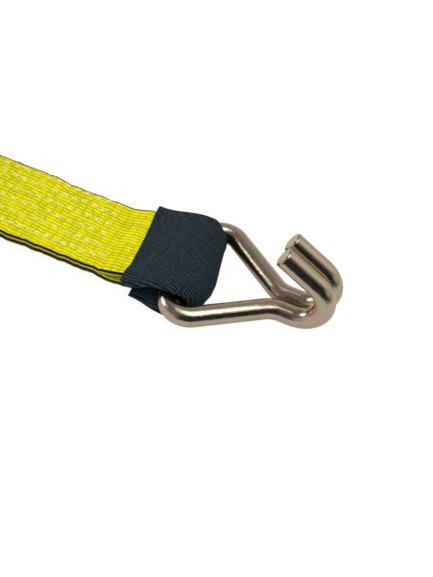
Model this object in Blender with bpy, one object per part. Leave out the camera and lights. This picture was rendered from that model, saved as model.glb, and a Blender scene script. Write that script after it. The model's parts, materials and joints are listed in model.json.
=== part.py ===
"""A two inch ratchet strap: ratchet, short strap and long strap, each strap ending in a double J hook.

X runs along the strap, with the short strap at +X, Y runs across it and Z is up. The origin is on the
underside of the ratchet's base, in the middle. The straps lie level at the height of the anchor bolt.
"""

import math

import bmesh
import bpy
from mathutils import Matrix

MM = 0.001
GAP = 0.3 * MM
MERGE = 0.001 * MM

# Webbing, folded to two layers where it makes an eye. Distances along an eye are measured back from its bar.
WEBBING_WIDTH = 50 * MM
WEBBING_THICK = 2.5 * MM
LAYER_HEIGHT = 1.4 * MM
STRAP_Z = 12 * MM
EYE_FLAT_END = 46 * MM
LONG_TAIL = 120 * MM

# Where the turning axes are.
DRUM_X = -38 * MM
DRUM_Z = 27 * MM
ANCHOR_X = 42 * MM
SHORT_BAR_X = 235 * MM
LONG_BAR_X = -203 * MM

# Double J hook, bent from one wire.
WIRE_RADIUS = 5.8 * MM
BAR_HALF = 34 * MM
CORNER_RADIUS = 11.6 * MM
TAPER_ANGLE = 35.8
NECK_BEND_RADIUS = 15.3 * MM
NECK_LENGTH = 5.8 * MM
BOWL_RADIUS = 16 * MM
BOWL_ANGLE = 149.6
PRONG_LENGTH = 22.8 * MM
PRONG_Y = WIRE_RADIUS + GAP / 2

# Wear sleeve: a flat tube of webbing that the strap passes through round the hook's bar.
SLEEVE_WALL = 1.2 * MM
SLEEVE_PLAY = 0.2 * MM
SLEEVE_HALF_WIDTH = 26.5 * MM
EYE_RADIUS = 10.2 * MM
EYE_SHIFT = 2 * MM
SLEEVE_TOP = 33 * MM
SLEEVE_BOTTOM = 19 * MM
SLEEVED_HEIGHT = 3.1 * MM
SLEEVED_START = 36 * MM
SLEEVED_END = 30 * MM

# Base frame, a stamped channel.
PLATE = 2.5 * MM
BASE_OUTER_Y = 30.5 * MM
BASE_BEND = 4 * MM
BASE_TOP = 24.5 * MM
BASE_DRUM_RADIUS = 14.2 * MM
BASE_END_RADIUS = 10 * MM
FLOOR_HALF_LENGTH = 20 * MM
FLOOR_WINDOW_Y = 27.5 * MM

# Drum, wheels and what keeps them together.
DRUM_RADIUS = 8.5 * MM
DRUM_FLAT = 2.2 * MM
DRUM_HALF_LENGTH = 44.5 * MM
TEETH = 12
WHEEL_RADIUS = 19 * MM
ROOT_RADIUS = 14.5 * MM
WHEEL_Y = 32.5 * MM
WHEEL_THICK = 3 * MM
WASHER_RADIUS = 13 * MM
WASHER_THICK = 1.5 * MM
WASHER_Y = 39.05 * MM
COTTER_Y = 42 * MM
COTTER_RADIUS = 1.2 * MM
WRAP_PITCH = 2.85 * MM
OUTER_WRAP_RADIUS = 15 * MM

# Handle, with the grip beyond its end.
ARM_Y = 36.25 * MM
HUB_RADIUS = 15 * MM
ARM_TOP = 8 * MM
ARM_BOTTOM = -4.8 * MM
ARM_LENGTH = 97 * MM
WEB_START = 79 * MM
WEB_TOP = 7.7 * MM
WEB_HALF_WIDTH = 36 * MM
TONGUE_HALF_WIDTH = 30 * MM
TONGUE_END = 114 * MM
GRIP_START = 100 * MM
GRIP_END = 123 * MM
GRIP_TOP = 10.5 * MM
GRIP_BOTTOM = -7 * MM
GRIP_HALF_WIDTH = 39 * MM

# Pawls, drawn along their travel from the drum's axis, and their springs.
PAWL_THICK = 3 * MM
LOCK_ANGLE = 30
LOCK_TRAVEL = 5 * MM
LOCK_SHOULDER = 28 * MM
LOCK_STOP = 38.15 * MM
DRIVE_TRAVEL_IN = 4.5 * MM
DRIVE_TRAVEL_OUT = 3 * MM
DRIVE_EAR_START = 40 * MM
DRIVE_EAR_END = 50 * MM
DRIVE_SHOULDER = 75 * MM
DRIVE_STOP = 91.25 * MM
GUIDE_HALF_WIDTH = 3 * MM
SPRING_RADIUS = 4 * MM
SPRING_WIRE = 0.5 * MM
SPRING_PITCH = 2.1 * MM

# Anchor bolt at the short strap's end of the base.
BOLT_RADIUS = 5 * MM
BOLT_HEAD_FLATS = 16 * MM
BOLT_HEAD_THICK = 6 * MM
NUT_THICK = 8 * MM
SPACER_RADIUS = 7 * MM
SPACER_HALF_LENGTH = 27.6 * MM
ANCHOR_EYE_RADIUS = 8.65 * MM

# Sewing thread, laid as one line up and down the eye.
THREAD_RADIUS = 0.4 * MM
THREAD_START = 48 * MM
THREAD_FIRST_ROW = -20 * MM
THREAD_ROW_STEP = 8.4 * MM
THREAD_ROWS = 6
SHORT_THREAD_END = 150 * MM
LONG_THREAD_END = LONG_TAIL - 4 * MM

FLAT = (0, 0, 0)
SIDE_ON = (math.radians(90), 0, 0)
END_ON = (math.radians(90), 0, math.radians(90))


# Points


def polar(centre, radius, degrees):
    angle = math.radians(degrees)
    return centre[0] + radius * math.cos(angle), centre[1] + radius * math.sin(angle)


def arc(centre, radius, start, end, steps):
    """Points along an arc, both ends included."""
    turn = (end - start) / steps
    return [polar(centre, radius, start + turn * i) for i in range(steps + 1)]


def circle(radius, centre=(0, 0), steps=24):
    return arc(centre, radius, 0, 360, steps)[:-1]


def rounded_box(left, bottom, right, top, radius):
    corners = (
        (right - radius, top - radius, 0),
        (left + radius, top - radius, 90),
        (left + radius, bottom + radius, 180),
        (right - radius, bottom + radius, 270),
    )
    return [point for x, y, start in corners for point in arc((x, y), radius, start, start + 90, 4)]


def turned(points, degrees):
    angle = math.radians(degrees)
    c, s = math.cos(angle), math.sin(angle)
    return [(c * x - s * y, s * x + c * y) for x, y in points]


def moved(points, dx, dy):
    return [(x + dx, y + dy) for x, y in points]


def mirrored(points):
    """The points followed by their mirror images across the first axis, which closes a symmetric outline."""
    return points + [(x, -y) for x, y in reversed(points)]


def offset(points, distance, closed=False):
    """The path moved sideways to its left by a distance."""
    out = []
    last = len(points) - 1
    for i, (x, y) in enumerate(points):
        before = points[i - 1] if closed or i else points[0]
        after = points[(i + 1) % len(points)] if closed or i < last else points[last]
        dx, dy = after[0] - before[0], after[1] - before[1]
        length = math.hypot(dx, dy)
        out.append((x - distance * dy / length, y + distance * dx / length))
    return out


def band(points, half_thick):
    """The outline of a strip that follows an open path."""
    return offset(points, half_thick) + offset(points, -half_thick)[::-1]


def ease(start, end, steps, x0, x1):
    """Points from x0 to x1 whose height goes smoothly from start to end."""
    out = []
    for i in range(steps + 1):
        part = i / steps
        out.append((x0 + (x1 - x0) * part, start + (end - start) * (1 - math.cos(math.pi * part)) / 2))
    return out


# Shapes


def closed_mesh(name, curve):
    """The closed mesh that a filled or bevelled curve makes. The curve is used up."""
    guide = bpy.data.objects.new(name, curve)
    bpy.context.scene.collection.objects.link(guide)
    bpy.context.view_layer.update()
    graph = bpy.context.evaluated_depsgraph_get()
    mesh = bpy.data.meshes.new_from_object(guide.evaluated_get(graph))
    bpy.data.objects.remove(guide)
    bpy.data.curves.remove(curve)
    shape = bmesh.new()
    shape.from_mesh(mesh)
    bmesh.ops.remove_doubles(shape, verts=shape.verts, dist=MERGE)
    bmesh.ops.recalc_face_normals(shape, faces=shape.faces)
    shape.to_mesh(mesh)
    shape.free()
    mesh.name = name
    mesh.shade_smooth()
    mesh.set_sharp_from_angle(angle=math.radians(40))
    return mesh


def plate(name, loops, thickness):
    """A flat piece from its outline and the outlines of its holes, centred on its own plane."""
    curve = bpy.data.curves.new(name, "CURVE")
    curve.dimensions = "2D"
    curve.fill_mode = "BOTH"
    curve.extrude = thickness / 2
    for loop in loops:
        spline = curve.splines.new("POLY")
        spline.points.add(len(loop) - 1)
        for point, (x, y) in zip(spline.points, loop):
            point.co = (x, y, 0, 1)
        spline.use_cyclic_u = True
    return closed_mesh(name, curve)


def wire(name, points, radius):
    """A round wire along the points, with flat ends."""
    curve = bpy.data.curves.new(name, "CURVE")
    curve.dimensions = "3D"
    curve.bevel_depth = radius
    curve.bevel_resolution = 2
    curve.use_fill_caps = True
    spline = curve.splines.new("POLY")
    spline.points.add(len(points) - 1)
    for point, place in zip(spline.points, points):
        point.co = (*place, 1)
    return closed_mesh(name, curve)


def material(name, colour, roughness, metallic):
    made = bpy.data.materials.new(name)
    made.use_nodes = True
    shader = made.node_tree.nodes["Principled BSDF"]
    shader.inputs["Base Color"].default_value = (*colour, 1)
    shader.inputs["Roughness"].default_value = roughness
    shader.inputs["Metallic"].default_value = metallic
    made.diffuse_color = (*colour, 1)
    return made


def add(collection, mesh, location, rotation=FLAT, finish=None):
    """Places a mesh as its own object, named as the mesh is."""
    piece = bpy.data.objects.new(mesh.name, mesh)
    piece.location = location
    piece.rotation_euler = rotation
    if finish:
        mesh.materials.append(finish)
    collection.objects.link(piece)
    return piece


def helper(cutters, mesh, location, rotation=FLAT):
    piece = add(cutters, mesh, location, rotation)
    piece.hide_render = True
    piece.display_type = "WIRE"
    return piece


def shape_with(piece, operation, tool):
    step = piece.modifiers.new(tool.name, "BOOLEAN")
    step.operation = operation
    step.solver = "EXACT"
    step.object = tool


# Ratchet


def base_frame(parts, cutters, finish):
    """A channel with both ends of its floor open, cut to the side plates' shape, and a tab that stops the spring."""
    inner_y = BASE_OUTER_Y - PLATE
    height = 45 * MM
    inner_bend = BASE_BEND - PLATE
    left_outer = arc((-BASE_OUTER_Y + BASE_BEND, BASE_BEND), BASE_BEND, 180, 270, 4)
    right_outer = arc((BASE_OUTER_Y - BASE_BEND, BASE_BEND), BASE_BEND, 270, 360, 4)
    right_inner = arc((inner_y - inner_bend, BASE_BEND), inner_bend, 360, 270, 4)
    left_inner = arc((-inner_y + inner_bend, BASE_BEND), inner_bend, 270, 180, 4)
    section = [(-BASE_OUTER_Y, height), *left_outer, *right_outer, (BASE_OUTER_Y, height)]
    section += [(inner_y, height), *right_inner, *left_inner, (-inner_y, height)]
    left = DRUM_X - BASE_DRUM_RADIUS
    right = ANCHOR_X + BASE_END_RADIUS
    length = right - left + 4 * MM
    channel = plate("base_frame", [section], length)
    frame = add(parts, channel, ((left + right) / 2, 0, 0), END_ON, finish)

    corner = 4 * MM
    shoulder = -math.degrees(math.asin((DRUM_Z - BASE_TOP) / BASE_DRUM_RADIUS))
    drum = (DRUM_X, DRUM_Z)
    anchor = (ANCHOR_X, STRAP_Z)
    side = arc((left + corner, corner), corner, 180, 270, 4)
    side += arc((right - corner, corner), corner, 270, 360, 4)
    side += arc(anchor, BASE_END_RADIUS, 0, 70, 5)
    side += [(24 * MM, BASE_TOP)]
    side += arc(drum, BASE_DRUM_RADIUS, shoulder, 180, 16)
    half_slot = PAWL_THICK / 2 + 0.4 * MM
    slot = rounded_box(17.8 * MM, -half_slot, 27.4 * MM + LOCK_TRAVEL, half_slot, 0.8 * MM)
    slot = moved(turned(slot, -LOCK_ANGLE), *drum)
    holes = [circle(DRUM_RADIUS + 0.4 * MM, drum), circle(BOLT_RADIUS + 0.2 * MM, anchor), slot]
    side_shape = plate("base_side_shape", [side, *holes], 80 * MM)
    shape_with(frame, "INTERSECT", helper(cutters, side_shape, (0, 0, 0), SIDE_ON))

    for name, start, end in (
        ("base_drum_window", left - 5 * MM, -FLOOR_HALF_LENGTH),
        ("base_anchor_window", FLOOR_HALF_LENGTH, right + 5 * MM),
    ):
        window = rounded_box(start, -FLOOR_WINDOW_Y, end, FLOOR_WINDOW_Y, 3 * MM)
        tool = helper(cutters, plate(name, [window], 8 * MM), (0, 0, 0))
        shape_with(frame, "DIFFERENCE", tool)

    tab_outline = rounded_box(-6 * MM, -9 * MM, 7.2 * MM, 9 * MM, 1 * MM)
    tab_slot = rounded_box(-2.1 * MM, -3.8 * MM, 2.1 * MM, 3.8 * MM, 0.5 * MM)
    tab = plate("base_spring_tab", [tab_outline, tab_slot], PLATE)
    x, z = polar(drum, LOCK_STOP, -LOCK_ANGLE)
    turn = (0, math.radians(90 + LOCK_ANGLE), 0)
    shape_with(frame, "UNION", helper(cutters, tab, (x, 0, z), turn))


def wheel_outline():
    """Saw teeth, steep on the side that the pawls push on. A gap between two teeth is centred on the first axis."""
    pitch = 360 / TEETH
    tooth = ((8, ROOT_RADIUS), (9, WHEEL_RADIUS), (12, WHEEL_RADIUS), (22, ROOT_RADIUS))
    return [polar((0, 0), radius, pitch * i + angle) for i in range(TEETH) for angle, radius in tooth]


def half_disc(radius, flat):
    """The part of a disc above a flat."""
    edge = math.degrees(math.asin(flat / radius))
    return arc((0, 0), radius, edge, 180 - edge, 12)


def mirror_down(points):
    return [(x, -y) for x, y in reversed(points)]


def wheels(parts, finish):
    keyhole = half_disc(DRUM_RADIUS + GAP, DRUM_FLAT - GAP)
    loops = [wheel_outline(), keyhole, mirror_down(keyhole)]
    for side, y in (("left", WHEEL_Y), ("right", -WHEEL_Y)):
        mesh = plate(f"ratchet_wheel_{side}", loops, WHEEL_THICK)
        add(parts, mesh, (DRUM_X, y, DRUM_Z), SIDE_ON, finish)


def drum_halves(parts, cutters, finish):
    """Two half round bars with a slot between them that the webbing passes through."""
    drill = wire("cotter_drill", [(0, 0, -12 * MM), (0, 0, 12 * MM)], COTTER_RADIUS + GAP)
    drills = [
        helper(cutters, drill, (DRUM_X, y, DRUM_Z)) for y in (COTTER_Y, -COTTER_Y)
    ]
    outline = half_disc(DRUM_RADIUS, DRUM_FLAT)
    for name, loop in (("drum_half_upper", outline), ("drum_half_lower", mirror_down(outline))):
        mesh = plate(name, [loop], 2 * DRUM_HALF_LENGTH)
        half = add(parts, mesh, (DRUM_X, 0, DRUM_Z), SIDE_ON, finish)
        for drilled in drills:
            shape_with(half, "DIFFERENCE", drilled)


def drum_ends(parts, washer_finish, pin_finish):
    """Washers outside the handle, and the pins that hold them on."""
    eye_radius = 2.6 * MM
    shank_top = 12.8 * MM
    leg = [(3.4 * MM, 0, -11.6 * MM), (1.2 * MM, 0, -11.2 * MM), (0, 0, -10.2 * MM)]
    eye = [(x, 0, z) for x, z in arc((-eye_radius, shank_top), eye_radius, 0, 280, 10)]
    for side, y in (("left", 1), ("right", -1)):
        ring = [circle(WASHER_RADIUS), circle(DRUM_RADIUS + GAP)]
        washer = plate(f"drum_washer_{side}", ring, WASHER_THICK)
        add(parts, washer, (DRUM_X, y * WASHER_Y, DRUM_Z), SIDE_ON, washer_finish)
        pin = wire(f"cotter_pin_{side}", leg + eye, COTTER_RADIUS)
        add(parts, pin, (DRUM_X, y * COTTER_Y, DRUM_Z), FLAT, pin_finish)


def handle_frame(parts, cutters, finish):
    """Two arms joined near the grip by a web, with a tab under it that stops the spring."""
    upper = math.degrees(math.asin(ARM_TOP / HUB_RADIUS))
    lower = 360 + math.degrees(math.asin(ARM_BOTTOM / HUB_RADIUS))
    corner = 4 * MM
    side = arc((0, 0), HUB_RADIUS, upper, lower, 20)
    side += arc((ARM_LENGTH - corner, ARM_BOTTOM + corner), corner, 270, 360, 4)
    side += arc((ARM_LENGTH - corner, ARM_TOP - corner), corner, 0, 90, 4)
    half_slot = PAWL_THICK / 2 + 0.4 * MM
    slot_start = DRIVE_EAR_START - DRIVE_TRAVEL_IN - 0.4 * MM
    slot_end = DRIVE_EAR_END + DRIVE_TRAVEL_OUT + 0.4 * MM
    slot = rounded_box(slot_start, -half_slot, slot_end, half_slot, 0.8 * MM)
    loops = [side, circle(DRUM_RADIUS + 0.4 * MM), slot]
    left_arm = plate("handle_frame", loops, PLATE)
    frame = add(parts, left_arm, (DRUM_X, ARM_Y, DRUM_Z), SIDE_ON, finish)
    right_arm = plate("handle_right_arm", loops, PLATE)
    arm = helper(cutters, right_arm, (DRUM_X, -ARM_Y, DRUM_Z), SIDE_ON)

    half_web = [(ARM_LENGTH - 4 * MM, WEB_HALF_WIDTH), (ARM_LENGTH, WEB_HALF_WIDTH - 4 * MM)]
    half_web = [(WEB_START, WEB_HALF_WIDTH), *half_web, (ARM_LENGTH, TONGUE_HALF_WIDTH)]
    half_web += [(TONGUE_END - 3 * MM, TONGUE_HALF_WIDTH), (TONGUE_END, TONGUE_HALF_WIDTH - 3 * MM)]
    web_shape = plate("handle_web", [mirrored(half_web)], PLATE)
    web = helper(cutters, web_shape, (DRUM_X, 0, DRUM_Z + WEB_TOP - PLATE / 2))

    tab_outline = rounded_box(-12 * MM, ARM_BOTTOM + 1 * MM, 12 * MM, WEB_TOP - 1 * MM, 1 * MM)
    tab_slot = rounded_box(-3.8 * MM, -2.1 * MM, 3.8 * MM, 2.1 * MM, 0.5 * MM)
    tab_shape = plate("handle_spring_tab", [tab_outline, tab_slot], PLATE)
    tab = helper(cutters, tab_shape, (DRUM_X + DRIVE_STOP, 0, DRUM_Z), END_ON)
    for tool in (web, arm, tab):
        shape_with(frame, "UNION", tool)


def handle_grip(parts, cutters, finish):
    """A moulded bar pushed over the end of the handle's web."""
    outline = rounded_box(GRIP_START, GRIP_BOTTOM, GRIP_END, GRIP_TOP, 6 * MM)
    mesh = plate("handle_grip", [outline], 2 * GRIP_HALF_WIDTH)
    grip = add(parts, mesh, (DRUM_X, 0, DRUM_Z), SIDE_ON, finish)
    half_pocket = TONGUE_HALF_WIDTH + GAP
    pocket = rounded_box(GRIP_START - 5 * MM, -half_pocket, TONGUE_END + GAP, half_pocket, 2 * MM)
    pocket_shape = plate("grip_pocket", [pocket], PLATE + 2 * GAP)
    tool = helper(cutters, pocket_shape, (DRUM_X, 0, DRUM_Z + WEB_TOP - PLATE / 2))
    shape_with(grip, "DIFFERENCE", tool)


def drive_pawl(parts, finish):
    """The plate that turns the drum: two teeth, ears in the handle's slots, a finger window and a tongue."""
    tooth_inner = 30.9 * MM
    edge = 34.6 * MM
    ear = 38.5 * MM
    half = [(26 * MM, tooth_inner), (19.5 * MM, tooth_inner), (19.5 * MM, edge)]
    half += [(DRIVE_EAR_START, edge), (DRIVE_EAR_START, ear), (DRIVE_EAR_END, ear)]
    half += [(DRIVE_EAR_END, edge), (DRIVE_SHOULDER, edge)]
    half += [(DRIVE_SHOULDER, GUIDE_HALF_WIDTH), (DRIVE_STOP + 4 * MM, GUIDE_HALF_WIDTH)]
    window = rounded_box(54 * MM, -16 * MM, 68 * MM, 16 * MM, 3 * MM)
    mesh = plate("drive_pawl", [mirrored(half), window], PAWL_THICK)
    add(parts, mesh, (DRUM_X, 0, DRUM_Z), FLAT, finish)


def lock_pawl(parts, finish):
    """The plate that stops the drum from turning back: two teeth, necks in the base's slots and a tongue."""
    body = 27.4 * MM
    tooth_inner = 30.9 * MM
    tooth_outer = 34.5 * MM
    half = [(17 * MM, body), (18.2 * MM, body), (18.2 * MM, tooth_inner), (15.2 * MM, tooth_inner)]
    half += [(15.2 * MM, tooth_outer), (27 * MM, tooth_outer), (27 * MM, body), (LOCK_SHOULDER, body)]
    half += [(LOCK_SHOULDER, GUIDE_HALF_WIDTH), (LOCK_STOP + 1.5 * MM, GUIDE_HALF_WIDTH)]
    mesh = plate("lock_pawl", [mirrored(half)], PAWL_THICK)
    add(parts, mesh, (DRUM_X, 0, DRUM_Z), (0, math.radians(LOCK_ANGLE), 0), finish)


def spring(parts, name, start, end, degrees, finish):
    """A coil round a pawl's tongue, between its shoulder and the tab."""
    first = start + GAP + SPRING_WIRE
    length = end - PLATE / 2 - GAP - SPRING_WIRE - first
    turns = round(length / SPRING_PITCH)
    steps = turns * 12
    points = []
    for i in range(steps + 1):
        angle = 2 * math.pi * turns * i / steps
        across = SPRING_RADIUS * math.cos(angle)
        points.append((first + length * i / steps, across, SPRING_RADIUS * math.sin(angle)))
    mesh = wire(name, points, SPRING_WIRE)
    add(parts, mesh, (DRUM_X, 0, DRUM_Z), (0, math.radians(degrees), 0), finish)


def anchor(parts, cutters, bolt_finish, spacer_finish):
    """The bolt across the base, its nut, and the tube that the short strap turns on."""
    hexagon = circle(BOLT_HEAD_FLATS / math.sqrt(3), steps=6)
    head_y = BASE_OUTER_Y + GAP + BOLT_HEAD_THICK / 2
    nut_y = BASE_OUTER_Y + GAP + NUT_THICK / 2
    shank_length = nut_y + NUT_THICK / 2 + 3 * MM + head_y
    head = plate("anchor_bolt", [hexagon], BOLT_HEAD_THICK)
    bolt = add(parts, head, (ANCHOR_X, -head_y, STRAP_Z), SIDE_ON, bolt_finish)
    shank_shape = plate("anchor_bolt_shank", [circle(BOLT_RADIUS)], shank_length)
    shank = helper(cutters, shank_shape, (ANCHOR_X, shank_length / 2 - head_y, STRAP_Z), SIDE_ON)
    shape_with(bolt, "UNION", shank)
    nut = plate("anchor_nut", [hexagon, circle(BOLT_RADIUS + GAP)], NUT_THICK)
    add(parts, nut, (ANCHOR_X, nut_y, STRAP_Z), SIDE_ON, bolt_finish)
    ring = [circle(SPACER_RADIUS), circle(BOLT_RADIUS + GAP)]
    spacer = plate("anchor_spacer", ring, 2 * SPACER_HALF_LENGTH)
    add(parts, spacer, (ANCHOR_X, 0, STRAP_Z), SIDE_ON, spacer_finish)


# Straps and hooks


def hook(parts, name, bar_x, direction, finish):
    """One wire, bent alike on both sides: bar, rounded corner, taper, neck, bowl and prong."""
    corner = (CORNER_RADIUS, BAR_HALF - CORNER_RADIUS)
    half = arc(corner, CORNER_RADIUS, 180, 90 - TAPER_ANGLE, 8)
    taper = math.radians(TAPER_ANGLE)
    x, y = half[-1]
    bend_width = NECK_BEND_RADIUS * (1 - math.cos(taper))
    run = (y - bend_width - PRONG_Y) / math.sin(taper)
    x, y = x + run * math.cos(taper), y - run * math.sin(taper)
    for i in range(5):
        angle = taper * (1 - i / 4)
        along = NECK_BEND_RADIUS * (math.sin(taper) - math.sin(angle))
        across = NECK_BEND_RADIUS * (math.cos(angle) - math.cos(taper))
        half.append((x + along, y - across))
    flat = [(px, py, 0) for px, py in half]
    start = flat[-1][0] + NECK_LENGTH
    bowl = arc((start, BOWL_RADIUS), BOWL_RADIUS, -90, BOWL_ANGLE - 90, 12)
    flat += [(px, PRONG_Y, pz) for px, pz in bowl]
    heading = math.radians(BOWL_ANGLE)
    px, _, pz = flat[-1]
    tip = (px + PRONG_LENGTH * math.cos(heading), PRONG_Y, pz + PRONG_LENGTH * math.sin(heading))
    flat.append(tip)
    path = [(px, -py, pz) for px, py, pz in reversed(flat)] + flat
    path = [(direction * px, py, pz) for px, py, pz in path]
    add(parts, wire(name, path, WIRE_RADIUS), (bar_x, 0, STRAP_Z), FLAT, finish)


def eye_path(bar_x, direction, top_start, bottom_end):
    """The webbing's middle from its upper layer, round a hook's bar, to its lower layer, as x and z.

    Both ends are distances back from the bar. Under the sleeve the layers are held apart by its walls.
    """
    along = ease(LAYER_HEIGHT, SLEEVED_HEIGHT, 5, -EYE_FLAT_END, -SLEEVED_START)
    along += ease(SLEEVED_HEIGHT, EYE_RADIUS, 10, -SLEEVED_END, 0)
    upper = [(-top_start, eye_height(top_start))] + [(x, z) for x, z in along if x > -top_start + MM]
    lower = [(x, -z) for x, z in reversed(along) if x > -bottom_end + MM]
    lower.append((-bottom_end, -eye_height(bottom_end)))
    path = upper + arc((EYE_SHIFT, 0), EYE_RADIUS, 90, -90, 14)[1:] + lower[1:]
    return [(bar_x + direction * x, STRAP_Z + z) for x, z in path]


def eye_height(back):
    """How far each layer's middle is from the strap's, at a distance back from the bar."""
    if back >= SLEEVED_START:
        part = min(1, (back - SLEEVED_START) / (EYE_FLAT_END - SLEEVED_START))
        return SLEEVED_HEIGHT + (LAYER_HEIGHT - SLEEVED_HEIGHT) * (1 - math.cos(math.pi * part)) / 2
    part = max(0, 1 - back / SLEEVED_END)
    return SLEEVED_HEIGHT + (EYE_RADIUS - SLEEVED_HEIGHT) * (1 - math.cos(math.pi * part)) / 2


def short_strap(parts, finish):
    """A closed band of webbing, round the anchor's tube and the hook's bar."""
    ease_length = 28 * MM
    back = SHORT_BAR_X - ANCHOR_X - ease_length
    anchor_eye = arc((ANCHOR_X, STRAP_Z), ANCHOR_EYE_RADIUS, 270, 90, 14)
    upper = ease(ANCHOR_EYE_RADIUS, LAYER_HEIGHT, 8, ANCHOR_X, ANCHOR_X + ease_length)
    lower = [(x, STRAP_Z - z) for x, z in reversed(upper)]
    upper = [(x, STRAP_Z + z) for x, z in upper]
    middle = anchor_eye + upper[1:-1] + eye_path(SHORT_BAR_X, 1, back, back) + lower[1:-1]
    loops = [offset(middle, side * WEBBING_THICK / 2, closed=True) for side in (1, -1)]
    mesh = plate("short_strap", loops, WEBBING_WIDTH)
    mesh.transform(offset_matrix(ANCHOR_X, STRAP_Z))
    add(parts, mesh, (ANCHOR_X, 0, STRAP_Z), SIDE_ON, finish)


def offset_matrix(x, z):
    """Moves a side-on outline so that its own origin is at x, z."""
    return Matrix.Translation((-x, -z, 0))


def long_strap(parts, finish):
    """One layer off the bottom of the drum, doubled where it makes the hook's eye."""
    clear_of_tail = LONG_BAR_X + LONG_TAIL + 2 * MM
    around = arc((DRUM_X, DRUM_Z), OUTER_WRAP_RADIUS, 30, -90, 12)
    rise = ease(0, LAYER_HEIGHT, 4, clear_of_tail + 14 * MM, clear_of_tail)
    rise = [(x, STRAP_Z + z) for x, z in rise]
    middle = around + rise + eye_path(LONG_BAR_X, -1, LONG_TAIL, LONG_TAIL)
    mesh = plate("long_strap", [band(middle, WEBBING_THICK / 2)], WEBBING_WIDTH)
    mesh.transform(offset_matrix(DRUM_X, DRUM_Z))
    add(parts, mesh, (DRUM_X, 0, DRUM_Z), SIDE_ON, finish)


def strap_wrap(parts, finish):
    """The webbing's end, through the drum's slot and half a turn round it."""
    bend = 2 * MM
    first = DRUM_RADIUS + GAP + WEBBING_THICK / 2
    bend_x = math.sqrt((first - bend) ** 2 - bend**2)
    start = -math.degrees(math.atan2(bend, bend_x))
    turn = 175
    middle = [(-7 * MM, 0), (0, 0)] + arc((bend_x, -bend), bend, 90, start, 5)
    for i in range(1, 15):
        part = i / 14
        radius = first + WRAP_PITCH * turn / 360 * part
        middle.append(polar((0, 0), radius, start - turn * part))
    mesh = plate("strap_wrap", [band(middle, WEBBING_THICK / 2)], WEBBING_WIDTH)
    add(parts, mesh, (DRUM_X, 0, DRUM_Z), SIDE_ON, finish)


def sleeve(parts, cutters, name, bar_x, direction, finish):
    """A tube that follows the webbing round the bar, with the webbing's channel cut through it."""
    outer = WEBBING_THICK / 2 + SLEEVE_PLAY + SLEEVE_WALL
    inner = WEBBING_THICK / 2 + SLEEVE_PLAY
    longer = 3 * MM
    outline = band(eye_path(bar_x, direction, SLEEVE_TOP, SLEEVE_BOTTOM), outer)
    mesh = plate(name, [outline], 2 * SLEEVE_HALF_WIDTH)
    mesh.transform(offset_matrix(bar_x, STRAP_Z))
    tube = add(parts, mesh, (bar_x, 0, STRAP_Z), SIDE_ON, finish)
    channel = band(eye_path(bar_x, direction, SLEEVE_TOP + longer, SLEEVE_BOTTOM + longer), inner)
    channel_shape = plate(f"{name}_channel", [channel], 2 * (SLEEVE_HALF_WIDTH - SLEEVE_WALL))
    shape_with(tube, "DIFFERENCE", helper(cutters, channel_shape, (0, 0, 0), SIDE_ON))


def stitching(parts, name, start_x, end_x, origin, finish):
    """The thread's rows along the eye, joined end to end, just clear of the webbing."""
    height = STRAP_Z + LAYER_HEIGHT + WEBBING_THICK / 2 + 0.1 * MM + THREAD_RADIUS
    points = []
    for i in range(THREAD_ROWS):
        y = THREAD_FIRST_ROW + THREAD_ROW_STEP * i
        ends = (start_x, end_x) if i % 2 == 0 else (end_x, start_x)
        points += [(x - origin[0], y, height - origin[1]) for x in ends]
    add(parts, wire(name, points, THREAD_RADIUS), (origin[0], 0, origin[1]), FLAT, finish)


def build():
    for old in list(bpy.data.objects):
        bpy.data.objects.remove(old)
    parts = bpy.data.collections.new("ratchet_strap")
    cutters = bpy.data.collections.new("cutters")
    for collection in (parts, cutters):
        bpy.context.scene.collection.children.link(collection)

    zinc = material("yellow_zinc_steel", (0.62, 0.52, 0.36), 0.3, 1)
    bright = material("bright_zinc_steel", (0.6, 0.6, 0.58), 0.35, 1)
    spring_steel = material("spring_steel", (0.35, 0.35, 0.36), 0.35, 1)
    rubber = material("black_rubber", (0.02, 0.02, 0.02), 0.7, 0)
    yellow = material("yellow_webbing", (0.8, 0.72, 0.02), 0.75, 0)
    navy = material("navy_webbing", (0.015, 0.02, 0.03), 0.8, 0)
    cream = material("cream_thread", (0.85, 0.82, 0.6), 0.7, 0)

    base_frame(parts, cutters, zinc)
    wheels(parts, bright)
    drum_halves(parts, cutters, bright)
    drum_ends(parts, zinc, bright)
    handle_frame(parts, cutters, zinc)
    handle_grip(parts, cutters, rubber)
    drive_pawl(parts, zinc)
    lock_pawl(parts, zinc)
    spring(parts, "drive_pawl_spring", DRIVE_SHOULDER, DRIVE_STOP, 0, spring_steel)
    spring(parts, "lock_pawl_spring", LOCK_SHOULDER, LOCK_STOP, LOCK_ANGLE, spring_steel)
    anchor(parts, cutters, bright, bright)

    strap_wrap(parts, yellow)
    short_strap(parts, yellow)
    long_strap(parts, yellow)
    for side, bar_x, direction in (("short", SHORT_BAR_X, 1), ("long", LONG_BAR_X, -1)):
        sleeve(parts, cutters, f"{side}_strap_sleeve", bar_x, direction, navy)
        hook(parts, f"{side}_strap_hook", bar_x, direction, zinc)
    anchor_axis = (ANCHOR_X, STRAP_Z)
    drum_axis = (DRUM_X, DRUM_Z)
    short_ends = (SHORT_BAR_X - SHORT_THREAD_END, SHORT_BAR_X - THREAD_START)
    long_ends = (LONG_BAR_X + THREAD_START, LONG_BAR_X + LONG_THREAD_END)
    stitching(parts, "short_strap_stitching", *short_ends, anchor_axis, cream)
    stitching(parts, "long_strap_stitching", *long_ends, drum_axis, cream)


build()
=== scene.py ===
"""Looks for the ratchet strap: fabric, threads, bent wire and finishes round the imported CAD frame.

Lengths inside the script are in millimetres, and become metres where a mesh is made. Each eye, sleeve
and hook is drawn in its own frame: the origin is the middle of the hook's bar, x points towards the
hook's bowl, y runs across the strap and z is up.
"""

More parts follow.
